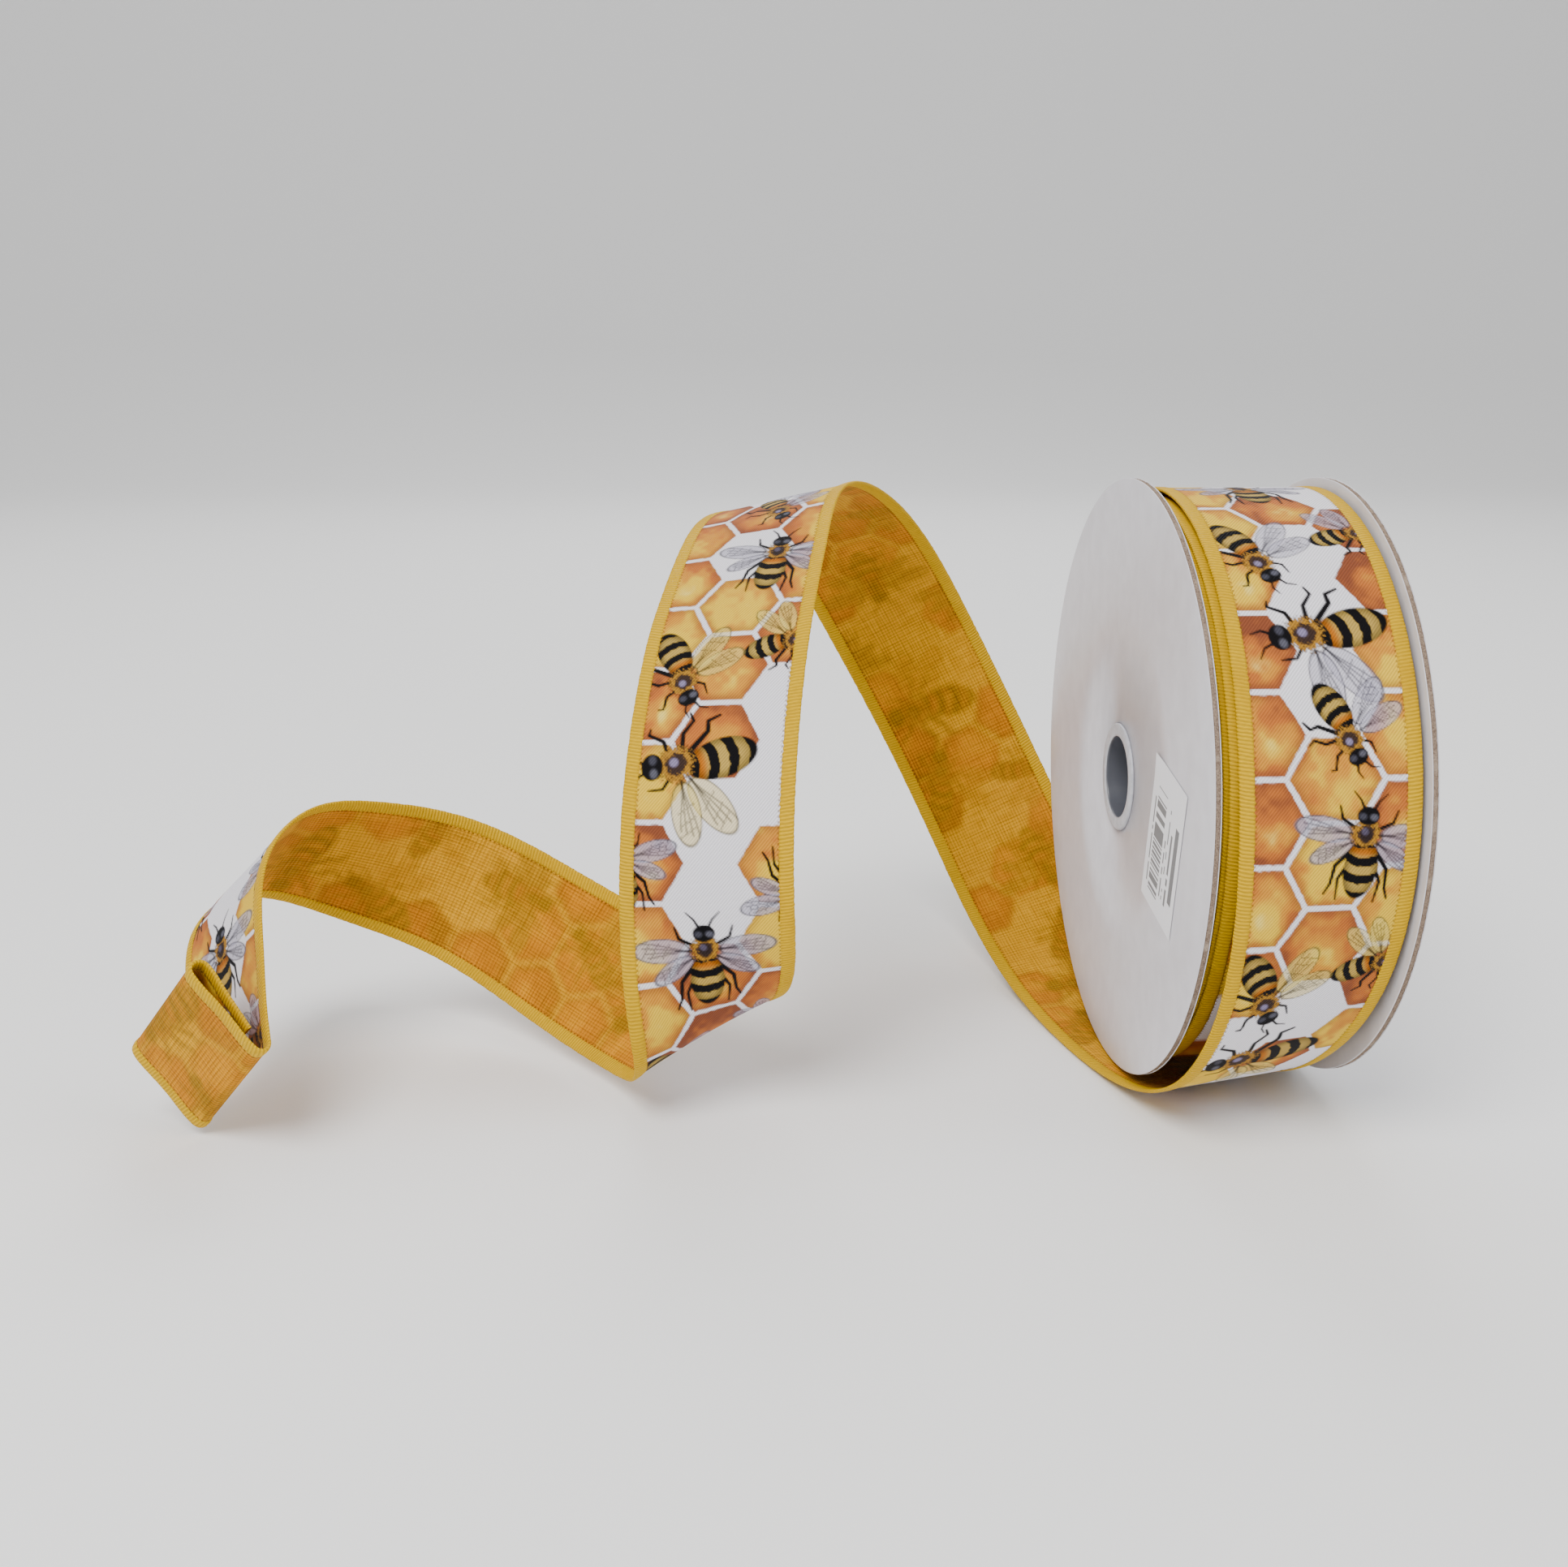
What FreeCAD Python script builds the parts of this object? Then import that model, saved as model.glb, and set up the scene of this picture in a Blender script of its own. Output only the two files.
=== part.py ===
import FreeCAD, Part
import Sketcher
import math
import os

# A cardboard ribbon spool with two flanges and a snap-in plastic hub, wound with wired, double-faced
# ribbon. The outer turn has come loose: it leaves the spool at the bottom, runs under the near flange,
# climbs into a tall loop, touches the surface again, climbs into a low arch and ends in a small roll.
# Origin: on the bore's axis, in the outer face of the near flange. +X runs along the bore towards the
# far flange and +Z is up. All sizes are millimetres.

Vector = FreeCAD.Vector
doc = FreeCAD.newDocument("ribbon_spool")

# ---------------------------------------------------------------- driving dimensions
sheet = doc.addObject("Spreadsheet::Sheet", "Sizes")
SIZES = {
    "flange_diameter": 139.7,
    "overall_width": 46.0,
    "board_thickness": 1.1,
    "facing_thickness": 0.2,
    "bore_diameter": 19.05,
    "hub_tube_diameter": 21.8,
    "hub_spigot_diameter": 20.4,
    "hub_collar_diameter": 25.4,
    "hub_collar_thickness": 0.7,
    "hub_edge_break": 0.3,
    "hub_lap": 8.0,
    "hub_clearance": 0.05,
    "core_diameter": 66.6,
    "core_wall": 1.2,
    "tape_thickness": 0.1,
    "tape_width": 19.0,
    "tape_angle": 36.0,
    "label_length": 34.5,
    "label_width": 22.8,
    "label_thickness": 0.1,
    "label_across": -37.6,
    "label_up": -5.7,
    "label_lean": 10.4,
    "ribbon_width": 38.1,
    "ribbon_length": 9144.0,
    "fabric_half": 0.2,
    "fabric_inset": 0.85,
    "ply_gap": 0.01,
    "edge_width": 3.2,
    "edge_half": 0.45,
    "edge_wall": 0.3,
    "cavity_half": 0.22,
    "wire_size": 0.4,
    "wire_inset": 0.35,
    "pack_offset": 3.2,
    "pack_radius": 66.0,
    "pack_half_turns": 51,
    "pack_last_sweep": 104.4,
    "turn_offset": 5.6,
    "turn_radius": 67.3,
    "turn_start": -72.0,
    "turn_end": 168.0,
}
for row, (alias, value) in enumerate(SIZES.items(), start=1):
    sheet.set("A%d" % row, alias)
    sheet.set("B%d" % row, str(value))
    sheet.setAlias("B%d" % row, alias)
doc.recompute()


def size(alias):
    """A driving dimension, read back from the sheet."""
    return float(sheet.get(alias))


parts = []


def keep(part_object, label):
    """Give a finished sub-part its label and put it on the list of pieces."""
    part_object.Label = label
    parts.append(part_object)
    return part_object


# ---------------------------------------------------------------- sketch helpers
def new_body(label):
    """An empty body for one sub-part."""
    return keep(doc.addObject("PartDesign::Body", label), label)


def new_sketch(body, role):
    """An empty sketch on one of the body's own origin planes."""
    plane = [feature for feature in body.Origin.OriginFeatures if feature.Role == role][0]
    sketch = body.newObject("Sketcher::SketchObject", body.Name + "_sketch")
    sketch.AttachmentSupport = [(plane, "")]
    sketch.MapMode = "FlatFace"
    return sketch


def bind(sketch, constraint, name, expression):
    """Add a constraint and bind its value to the sheet."""
    sketch.renameConstraint(sketch.addConstraint(constraint), name)
    sketch.setExpression("Constraints." + name, expression)


def circle(sketch, radius, name, expression):
    """A circle about the sketch's origin with a bound radius."""
    index = sketch.addGeometry(Part.Circle(Vector(), Vector(0, 0, 1), radius), False)
    sketch.addConstraint(Sketcher.Constraint("Coincident", index, 3, -1, 1))
    bind(sketch, Sketcher.Constraint("Radius", index, radius), name, expression)


def polygon(sketch, corners):
    """A closed polygon. Each corner is (first value, second value, first expression, second expression)."""
    count = len(corners)
    points = [Vector(corner[0], corner[1], 0) for corner in corners]
    lines = [sketch.addGeometry(Part.LineSegment(points[i], points[(i + 1) % count]), False)
             for i in range(count)]
    for i in range(count):
        sketch.addConstraint(Sketcher.Constraint("Coincident", lines[i], 2, lines[(i + 1) % count], 1))
    for i, (across, up, across_expression, up_expression) in enumerate(corners):
        bind(sketch, Sketcher.Constraint("DistanceX", -1, 1, lines[i], 1, across),
             "across_%d" % i, across_expression)
        bind(sketch, Sketcher.Constraint("DistanceY", -1, 1, lines[i], 1, up), "up_%d" % i, up_expression)


def pad(body, sketch, expression):
    """Pad a sketch by a bound length along its own normal."""
    feature = body.newObject("PartDesign::Pad", body.Name + "_pad")
    feature.Profile = sketch
    feature.setExpression("Length", expression)
    sketch.Visibility = False
    body.Tip = feature


def disc(label, outer, inner, thickness, start):
    """A flat ring about the bore's axis, from start along +X."""
    body = new_body(label)
    sketch = new_sketch(body, "YZ_Plane")
    circle(sketch, 60, "outer_radius", outer)
    circle(sketch, 10, "inner_radius", inner)
    pad(body, sketch, thickness)
    body.setExpression("Placement.Base.x", start)


# ---------------------------------------------------------------- flanges: white-faced grey board
FLANGE = "Sizes.flange_diameter / 2"
HUB_HOLE = "Sizes.hub_tube_diameter / 2 + Sizes.hub_clearance"
FACING = "Sizes.facing_thickness"
BOARD = "Sizes.board_thickness"
FAR_FACE = "Sizes.overall_width"

disc("near_flange_outer_facing", FLANGE, HUB_HOLE, FACING, "0")
disc("near_flange_board", FLANGE, HUB_HOLE, BOARD, FACING)
disc("near_flange_inner_facing", FLANGE, HUB_HOLE, FACING, FACING + " + " + BOARD)
disc("far_flange_inner_facing", FLANGE, HUB_HOLE, FACING, FAR_FACE + " - 2 * " + FACING + " - " + BOARD)
disc("far_flange_board", FLANGE, HUB_HOLE, BOARD, FAR_FACE + " - " + FACING + " - " + BOARD)
disc("far_flange_outer_facing", FLANGE, HUB_HOLE, FACING, FAR_FACE + " - " + FACING)

# ---------------------------------------------------------------- winding core between the flanges
FLANGE_STACK = "(2 * Sizes.facing_thickness + Sizes.board_thickness)"
disc("winding_core", "Sizes.core_diameter / 2", "Sizes.core_diameter / 2 - Sizes.core_wall",
     FAR_FACE + " - 2 * " + FLANGE_STACK, FLANGE_STACK)


# ---------------------------------------------------------------- hub: two plastic halves that snap together
def hub_half(label, lapped_corners):
    """Turn a hub half about the bore. It is drawn with its collar at x < 0 and its tube along +X."""
    bore = "Sizes.bore_diameter / 2"
    collar = "Sizes.hub_collar_diameter / 2"
    lip = "Sizes.hub_edge_break"
    back = "-Sizes.hub_collar_thickness"
    corners = [
        (-0.7, 9.8, back, bore + " + " + lip),
        (-0.7, 12.4, back, collar + " - " + lip),
        (-0.4, 12.7, back + " + " + lip, collar),
        (0.0, 12.7, "0", collar),
        (0.0, 10.9, "0", "Sizes.hub_tube_diameter / 2"),
    ] + lapped_corners + [(-0.4, 9.5, back + " + " + lip, bore)]
    body = new_body(label)
    sketch = new_sketch(body, "XY_Plane")
    polygon(sketch, corners)
    feature = body.newObject("PartDesign::Revolution", body.Name + "_turned")
    feature.Profile = sketch
    feature.ReferenceAxis = (sketch, ["H_Axis"])
    feature.Angle = 360.0
    sketch.Visibility = False
    body.Tip = feature
    return body


MIDDLE = "Sizes.overall_width / 2"
LAP = "Sizes.hub_lap / 2"
TUBE = "Sizes.hub_tube_diameter / 2"
SPIGOT = "Sizes.hub_spigot_diameter / 2"
BORE = "Sizes.bore_diameter / 2"
hub_half("near_hub", [
    (19, 10.9, MIDDLE + " - " + LAP, TUBE),
    (19, 10.2, MIDDLE + " - " + LAP, SPIGOT),
    (27, 10.2, MIDDLE + " + " + LAP, SPIGOT),
    (27, 9.5, MIDDLE + " + " + LAP, BORE),
])
far_hub = hub_half("far_hub", [
    (27, 10.9, MIDDLE + " + " + LAP, TUBE),
    (27, 10.25, MIDDLE + " + " + LAP, SPIGOT + " + Sizes.hub_clearance"),
    (19, 10.25, MIDDLE + " - " + LAP, SPIGOT + " + Sizes.hub_clearance"),
    (19, 9.5, MIDDLE + " - " + LAP, BORE),
])
far_hub.Placement = FreeCAD.Placement(Vector(), FreeCAD.Rotation(Vector(0, 0, 1), 180))
far_hub.setExpression("Placement.Base.x", FAR_FACE)

# ---------------------------------------------------------------- paper label on the near flange
label = new_body("label_sticker")
label_sketch = new_sketch(label, "YZ_Plane")
HALF_WIDTH = "Sizes.label_width / 2"
HALF_LENGTH = "Sizes.label_length / 2"
polygon(label_sketch, [
    (-11, -17, "-" + HALF_WIDTH, "-" + HALF_LENGTH),
    (11, -17, HALF_WIDTH, "-" + HALF_LENGTH),
    (11, 17, HALF_WIDTH, HALF_LENGTH),
    (-11, 17, "-" + HALF_WIDTH, HALF_LENGTH),
])
pad(label, label_sketch, "Sizes.label_thickness")
label.Placement = FreeCAD.Placement(Vector(), FreeCAD.Rotation(Vector(1, 0, 0), size("label_lean")))
label.setExpression("Placement.Base.x", "-Sizes.label_thickness")
label.setExpression("Placement.Base.y", "Sizes.label_across")
label.setExpression("Placement.Base.z", "Sizes.label_up")


# ---------------------------------------------------------------- tape that holds the ribbon's start
def tape_cylinder(name, radius):
    """A sector of a cylinder about the bore's axis, under the ribbon's first turn."""
    cylinder = doc.addObject("Part::Cylinder", name)
    cylinder.setExpression("Radius", radius)
    cylinder.setExpression("Height", "Sizes.tape_width")
    cylinder.setExpression("Angle", "Sizes.tape_angle")
    cylinder.Placement = FreeCAD.Placement(Vector(), FreeCAD.Rotation(Vector(0, 1, 0), 90))
    cylinder.setExpression("Placement.Base.x", MIDDLE + " - Sizes.tape_width / 2")
    return cylinder


tape = doc.addObject("Part::Cut", "starter_tape")
tape.Base = tape_cylinder("tape_outside", "Sizes.core_diameter / 2 + Sizes.tape_thickness")
tape.Tool = tape_cylinder("tape_inside", "Sizes.core_diameter / 2")
keep(tape, "starter_tape")

# ---------------------------------------------------------------- the ribbon's cross-section
# Two plies lie face to face between two overlocked edges. Each edge is a thread sleeve round a wire.
# A profile's points are (across the ribbon from its near edge, off the middle towards the print).
WIDTH = size("ribbon_width")
PLY = size("fabric_half")
PLY_GAP = size("ply_gap")
INSET = size("fabric_inset")
EDGE = size("edge_half")
CAVITY = size("cavity_half")
EDGE_WALL = size("edge_wall")
EDGE_WIDTH = size("edge_width")
WIRE_INSET = size("wire_inset")
WIRE = size("wire_size")


def band(left, right, low, high):
    """A rectangular profile."""
    return [(left, low), (right, low), (right, high), (left, high)]


def mirrored(profile):
    """The same profile at the ribbon's other edge."""
    return [(WIDTH - across, off) for across, off in reversed(profile)]


SLEEVE = [(0, -EDGE), (EDGE_WIDTH, -EDGE), (EDGE_WIDTH, -CAVITY), (EDGE_WALL, -CAVITY),
          (EDGE_WALL, CAVITY), (EDGE_WIDTH, CAVITY), (EDGE_WIDTH, EDGE), (0, EDGE)]
CORE_WIRE = band(WIRE_INSET, WIRE_INSET + WIRE, -WIRE / 2, WIRE / 2)
PROFILES = {
    "face_fabric": band(INSET, WIDTH - INSET, PLY_GAP, PLY),
    "backing_fabric": band(INSET, WIDTH - INSET, -PLY, -PLY_GAP),
    "near_edge_thread": SLEEVE,
    "far_edge_thread": mirrored(SLEEVE),
    "near_edge_wire": CORE_WIRE,
    "far_edge_wire": mirrored(CORE_WIRE),
}

# ---------------------------------------------------------------- the loose ribbon's route
# Each station is the ribbon's middle (x, y, z) and the way from its near edge to its far edge, as an
# azimuth and an elevation in degrees.
TAIL_STATIONS = [
    (24, -64, -28, 8, 0),
    (21, -47, -54, 12, 3),
    (16, -19, -68.5, 11, 0),
    (8, 18, -70, 11, 1),
    (1, 55, -62, 8, 12),
    (-9, 83, -40, -3, 25),
    (-24, 96, -8, -6, 27),
    (-42, 91, 25, -10, 26),
    (-57, 76, 48, -22, 17),
    (-69, 56, 59, -25, 14),
    (-80, 34, 61, -25, 14),
    (-87, 11, 52, -23, 10),
    (-94, -14, 34, -20, 6),
    (-99, -34, 2, -15, 3),
    (-99, -36, -29, -1, 3),
    (-99, -27, -50, 25, 15),
    (-105, -10, -55, 32, 32),
    (-116, 4, -53, 30, 45),
    (-134, 20, -47, 17, 58),
    (-161, 31, -34, -6, 64),
    (-184, 27, -25, -30, 57),
    (-199, 17, -20, -38, 46),
    (-208, 1, -24, -38, 40),
    (-206, -18, -40, -41, 42),
    (-202, -32, -53, -45, 44),
]
# The end rolls up towards the print: runs of (length, turn in degrees) that follow the last station.
END_ROLL = [(4.0, 0), (4.6, 145), (20.0, 0), (7.0, 188), (16.0, 0)]
ROLL_STEP = 1.2
TURN_STEPS = 12
SECTIONS_PER_STATION = 4


def station(x, y, z, azimuth, elevation):
    """A station's middle and its direction across the ribbon, as vectors."""
    turn = math.radians(azimuth)
    rise = math.radians(elevation)
    across = Vector(math.cos(rise) * math.cos(turn), math.cos(rise) * math.sin(turn), math.sin(rise))
    return Vector(x, y, z), across


def turn_stations():
    """The stations of the loose outer turn, from under the spool, up the back and over to the front."""
    stations = []
    for step in range(TURN_STEPS + 1):
        share = step / TURN_STEPS
        angle = math.radians(size("turn_start") + share * (size("turn_end") - size("turn_start")))
        middle = Vector(size("turn_offset") + WIDTH / 2,
                        size("turn_radius") * math.cos(angle), size("turn_radius") * math.sin(angle))
        stations.append((middle, Vector(1, 0, 0)))
    return stations


def roll_stations(start, across, heading):
    """The stations of the rolled end, walked in the plane square to the ribbon's width."""
    off_face = heading.cross(across)
    place = start
    angle = 0.0
    stations = []
    for length, turn in END_ROLL:
        steps = max(2, round(length / ROLL_STEP)) if turn else 3
        for _ in range(steps):
            angle += math.radians(turn) / steps / 2
            way = heading * math.cos(angle) + off_face * math.sin(angle)
            place = place + way * (length / steps)
            angle += math.radians(turn) / steps / 2
            stations.append((place, across))
    return stations


def loose_sections():
    """Sections and length of the loose ribbon. A section is (middle, across, off the print side)."""
    tail = [station(*values) for values in TAIL_STATIONS]
    last, across = tail[-1]
    heading = last - tail[-2][0]
    heading = (heading - across * heading.dot(across)).normalize()
    stations = turn_stations() + tail + roll_stations(last, across, heading)
    middles = [middle for middle, _ in stations]
    tips = [middle + direction * (WIDTH / 2) for middle, direction in stations]
    knots = [0.0]
    for before, after in zip(middles, middles[1:]):
        knots.append(knots[-1] + (after - before).Length)
    middle_curve = spline(middles, knots)
    tip_curve = spline(tips, knots)
    fine_knots = []
    for before, after in zip(knots, knots[1:]):
        steps = SECTIONS_PER_STATION if after - before > 2 * ROLL_STEP else 1
        fine_knots += [before + (after - before) * step / steps for step in range(steps)]
    fine_knots.append(knots[-1])
    sections = []
    for knot in fine_knots:
        middle = middle_curve.value(knot)
        across = (tip_curve.value(knot) - middle).normalize()
        along = middle_curve.tangent(knot)[0]
        sections.append((middle, across, along.cross(across).normalize()))
    return sections, middle_curve.length()


def spline(points, knots):
    """A smooth curve through the points."""
    curve = Part.BSplineCurve()
    curve.interpolate(Points=points, Parameters=knots)
    return curve


def loose_piece(label, profile):
    """A solid that carries one profile along the loose ribbon, ruled from section to section."""
    rings = []
    for middle, across, off_face in loose_frames:
        corners = [middle + across * (u - WIDTH / 2) + off_face * v for u, v in profile]
        rings.append([Part.makeLine(one, other) for one, other in zip(corners, corners[1:] + corners[:1])])
    faces = [Part.Face(Part.Wire(rings[0])), Part.Face(Part.Wire(rings[-1]))]
    for ring, next_ring in zip(rings, rings[1:]):
        faces += [Part.makeRuledSurface(one, other) for one, other in zip(ring, next_ring)]
    shell = Part.makeShell(faces)
    shell.sewShape()
    piece = doc.addObject("Part::Feature", label)
    piece.Shape = Part.Solid(shell)
    keep(piece, label)


loose_frames, loose_length = loose_sections()
for name, profile in PROFILES.items():
    loose_piece("loose_" + name, profile)

# ---------------------------------------------------------------- the wound pack
# A spiral of half turns from the core out to the loose turn, and one part turn that ends under the
# loose turn's start.
FIRST_RADIUS = size("core_diameter") / 2 + size("tape_thickness") + EDGE + 0.1
HALF_TURNS = int(size("pack_half_turns"))
HALF_PITCH = (size("pack_radius") - FIRST_RADIUS) / HALF_TURNS


def spiral_edges(offset):
    """The spiral as arcs in the plane x = 0, moved outwards by offset."""
    edges = []
    for half in range(HALF_TURNS + 1):
        sweep = size("pack_last_sweep") if half == HALF_TURNS else 180.0
        centre = Vector(0, HALF_PITCH * (half % 2), 0)
        reach = FIRST_RADIUS + HALF_PITCH * half + offset
        points = []
        for share in (0, 0.5, 1):
            angle = math.radians(180 * (half % 2) + sweep * share)
            points.append(centre + Vector(0, reach * math.cos(angle), reach * math.sin(angle)))
        edges.append(Part.Arc(*points).toShape())
    return edges


def spiral_band(left, right, low, high):
    """A solid strip that follows the spiral."""
    outer = spiral_edges(high)
    inner = spiral_edges(low)
    start = Part.makeLine(inner[0].Vertexes[0].Point, outer[0].Vertexes[0].Point)
    end = Part.makeLine(outer[-1].Vertexes[-1].Point, inner[-1].Vertexes[-1].Point)
    outline = Part.Wire([start] + outer + [end] + inner[::-1])
    strip = Part.Face(outline).extrude(Vector(right - left, 0, 0))
    strip.translate(Vector(size("pack_offset") + left, 0, 0))
    return strip


def wound_piece(label, shape):
    """Keep one ply, sleeve or wire of the wound pack."""
    piece = doc.addObject("Part::Feature", label)
    piece.Shape = shape
    keep(piece, label)


def wound_sleeve(left, right, slot_left, slot_right):
    """An overlocked edge: a thick band with a slot for the wire and the plies."""
    return spiral_band(left, right, -EDGE, EDGE).cut(spiral_band(slot_left, slot_right, -CAVITY, CAVITY))


OVERCUT = 1.0
wound_piece("wound_face_fabric", spiral_band(INSET, WIDTH - INSET, PLY_GAP, PLY))
wound_piece("wound_backing_fabric", spiral_band(INSET, WIDTH - INSET, -PLY, -PLY_GAP))
wound_piece("wound_near_edge_thread", wound_sleeve(0, EDGE_WIDTH, EDGE_WALL, EDGE_WIDTH + OVERCUT))
wound_piece("wound_far_edge_thread",
            wound_sleeve(WIDTH - EDGE_WIDTH, WIDTH, WIDTH - EDGE_WIDTH - OVERCUT, WIDTH - EDGE_WALL))
wound_piece("wound_near_edge_wire", spiral_band(WIRE_INSET, WIRE_INSET + WIRE, -WIRE / 2, WIRE / 2))
wound_piece("wound_far_edge_wire",
            spiral_band(WIDTH - WIRE_INSET - WIRE, WIDTH - WIRE_INSET, -WIRE / 2, WIRE / 2))

# ---------------------------------------------------------------- checks and export
doc.recompute()
for item in doc.Objects:
    if "Invalid" in item.State or "Error" in item.State:
        raise RuntimeError("%s did not build: %s" % (item.Name, item.State))
for part in parts:
    if part.Shape.isNull() or not part.Shape.isValid() or len(part.Shape.Solids) != 1:
        raise RuntimeError("%s is not one valid solid" % part.Label)

os.makedirs("parts", exist_ok=True)
for part in parts:
    part.Shape.exportStep("parts/%s.step" % part.Label)
    print("%-28s %9.1f mm3" % (part.Label, part.Shape.Volume))
wound_length = sum(edge.Length for edge in spiral_edges(0))
print("loose %.0f mm, wound %.0f mm, sheet %.0f mm" % (loose_length, wound_length, size("ribbon_length")))
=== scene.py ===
import math
import bpy
import numpy as np
from mathutils import Matrix, Vector


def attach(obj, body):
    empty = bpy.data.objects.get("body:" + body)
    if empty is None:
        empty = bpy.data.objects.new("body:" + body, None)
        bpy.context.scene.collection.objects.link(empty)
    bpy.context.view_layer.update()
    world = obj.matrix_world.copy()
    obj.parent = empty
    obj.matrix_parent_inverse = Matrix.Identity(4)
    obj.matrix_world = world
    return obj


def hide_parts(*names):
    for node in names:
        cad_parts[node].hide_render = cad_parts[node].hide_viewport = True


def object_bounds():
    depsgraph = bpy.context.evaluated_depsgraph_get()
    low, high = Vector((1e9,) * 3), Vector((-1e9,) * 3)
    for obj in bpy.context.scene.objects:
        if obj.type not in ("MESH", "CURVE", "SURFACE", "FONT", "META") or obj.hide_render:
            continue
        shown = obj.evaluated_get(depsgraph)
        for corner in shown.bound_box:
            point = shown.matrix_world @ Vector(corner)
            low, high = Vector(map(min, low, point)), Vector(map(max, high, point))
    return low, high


# A ribbon spool: white-faced cardboard flanges, a plastic hub, wired two-ply ribbon with a printed face and
# a linen back. Lengths are millimetres until a mesh is made; the lights and the camera are placed in metres.

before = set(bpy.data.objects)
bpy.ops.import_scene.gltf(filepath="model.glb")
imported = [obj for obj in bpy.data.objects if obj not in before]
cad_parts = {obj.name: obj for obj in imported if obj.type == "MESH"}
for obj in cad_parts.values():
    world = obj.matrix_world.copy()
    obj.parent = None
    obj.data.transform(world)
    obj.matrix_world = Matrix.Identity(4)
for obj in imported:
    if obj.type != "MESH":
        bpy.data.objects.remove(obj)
start_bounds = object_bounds()
MM = 0.001
rng = np.random.default_rng(7)

# ---------------------------------------------------------------- sizes, in millimetres and degrees
SPOOL_WIDTH = 46.0
WIDTH = 38.1
FLANGE_RADIUS = 69.85
PLY = 0.2
EDGE_WIDTH = 3.2
TURN_RADIUS = 67.3
TURN_OFFSET = 5.6
TURN_START = -72
TURN_SWEEP = 240
TURN_STEPS = 12
PACK_OFFSET = 3.2
PACK_FIRST = 33.95
PACK_LAST = 66.0
HALF_TURNS = 51
LAST_PART_TURN = 0.58

# ---------------------------------------------------------------- the loose ribbon's route
# Middle (x, y, z) and the way from the near edge to the far edge (azimuth, elevation), as in the CAD part.
TAIL_STATIONS = [
    (24, -64, -28, 8, 0),
    (21, -47, -54, 12, 3),
    (16, -19, -68.5, 11, 0),
    (8, 18, -70, 11, 1),
    (1, 55, -62, 8, 12),
    (-9, 83, -40, -3, 25),
    (-24, 96, -8, -6, 27),
    (-42, 91, 25, -10, 26),
    (-57, 76, 48, -22, 17),
    (-69, 56, 59, -25, 14),
    (-80, 34, 61, -25, 14),
    (-87, 11, 52, -23, 10),
    (-94, -14, 34, -20, 6),
    (-99, -34, 2, -15, 3),
    (-99, -36, -29, -1, 3),
    (-99, -27, -50, 25, 15),
    (-105, -10, -55, 32, 32),
    (-116, 4, -53, 30, 45),
    (-134, 20, -47, 17, 58),
    (-161, 31, -34, -6, 64),
    (-184, 27, -25, -30, 57),
    (-199, 17, -20, -38, 46),
    (-208, 1, -24, -38, 40),
    (-206, -18, -40, -41, 42),
    (-202, -32, -53, -45, 44),
]
# The rolled end: pieces of the route by length, each with the angle that it turns through.
END_ROLL = [(4.0, 0), (4.6, 145), (20.0, 0), (7.0, 188), (16.0, 0)]


def natural_spline(knots, values):
    """Second derivatives of the smooth curve through the values."""
    count = len(knots)
    gaps = np.diff(knots)
    system = np.eye(count)
    target = np.zeros((count, 3))
    for i in range(1, count - 1):
        system[i, i - 1:i + 2] = gaps[i - 1], 2 * (gaps[i - 1] + gaps[i]), gaps[i]
        target[i] = 6 * ((values[i + 1] - values[i]) / gaps[i] - (values[i] - values[i - 1]) / gaps[i - 1])
    return np.linalg.solve(system, target)


def spline_points(knots, values, bend, at):
    """Points on the curve at the given knots."""
    i = np.clip(np.searchsorted(knots, at) - 1, 0, len(knots) - 2)
    gap = (knots[i + 1] - knots[i])[:, None]
    a = (knots[i + 1] - at)[:, None] / gap
    b = 1 - a
    curved = ((a ** 3 - a) * bend[i] + (b ** 3 - b) * bend[i + 1]) * gap ** 2 / 6
    return a * values[i] + b * values[i + 1] + curved


def smooth(low, high, x):
    t = np.clip((x - low) / (high - low), 0, 1)
    return t * t * (3 - 2 * t)


def unit(vectors):
    return vectors / np.linalg.norm(vectors, axis=-1, keepdims=True)


def loose_stations():
    """The loose ribbon's stations: the turn on the spool, the tail and the rolled end."""
    middles = []
    acrosses = []
    for step in range(TURN_STEPS + 1):
        angle = math.radians(TURN_START + TURN_SWEEP * step / TURN_STEPS)
        y, z = TURN_RADIUS * math.cos(angle), TURN_RADIUS * math.sin(angle)
        middles.append((TURN_OFFSET + WIDTH / 2, y, z))
        acrosses.append((1, 0, 0))
    for x, y, z, azimuth, elevation in TAIL_STATIONS:
        turn, rise = math.radians(azimuth), math.radians(elevation)
        middles.append((x, y, z))
        acrosses.append((math.cos(rise) * math.cos(turn), math.cos(rise) * math.sin(turn), math.sin(rise)))
    across = np.array(acrosses[-1])
    heading = np.array(middles[-1], float) - np.array(middles[-2], float)
    heading = unit(heading - across * heading.dot(across))
    off_face = np.cross(heading, across)
    place = np.array(middles[-1], float)
    angle = 0.0
    for length, turn in END_ROLL:
        steps = max(2, round(length / 1.2)) if turn else 3
        for _ in range(steps):
            angle += math.radians(turn) / steps / 2
            place = place + (heading * math.cos(angle) + off_face * math.sin(angle)) * (length / steps)
            angle += math.radians(turn) / steps / 2
            middles.append(tuple(place))
            acrosses.append(tuple(across))
    return np.array(middles, float), np.array(acrosses, float)


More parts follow.
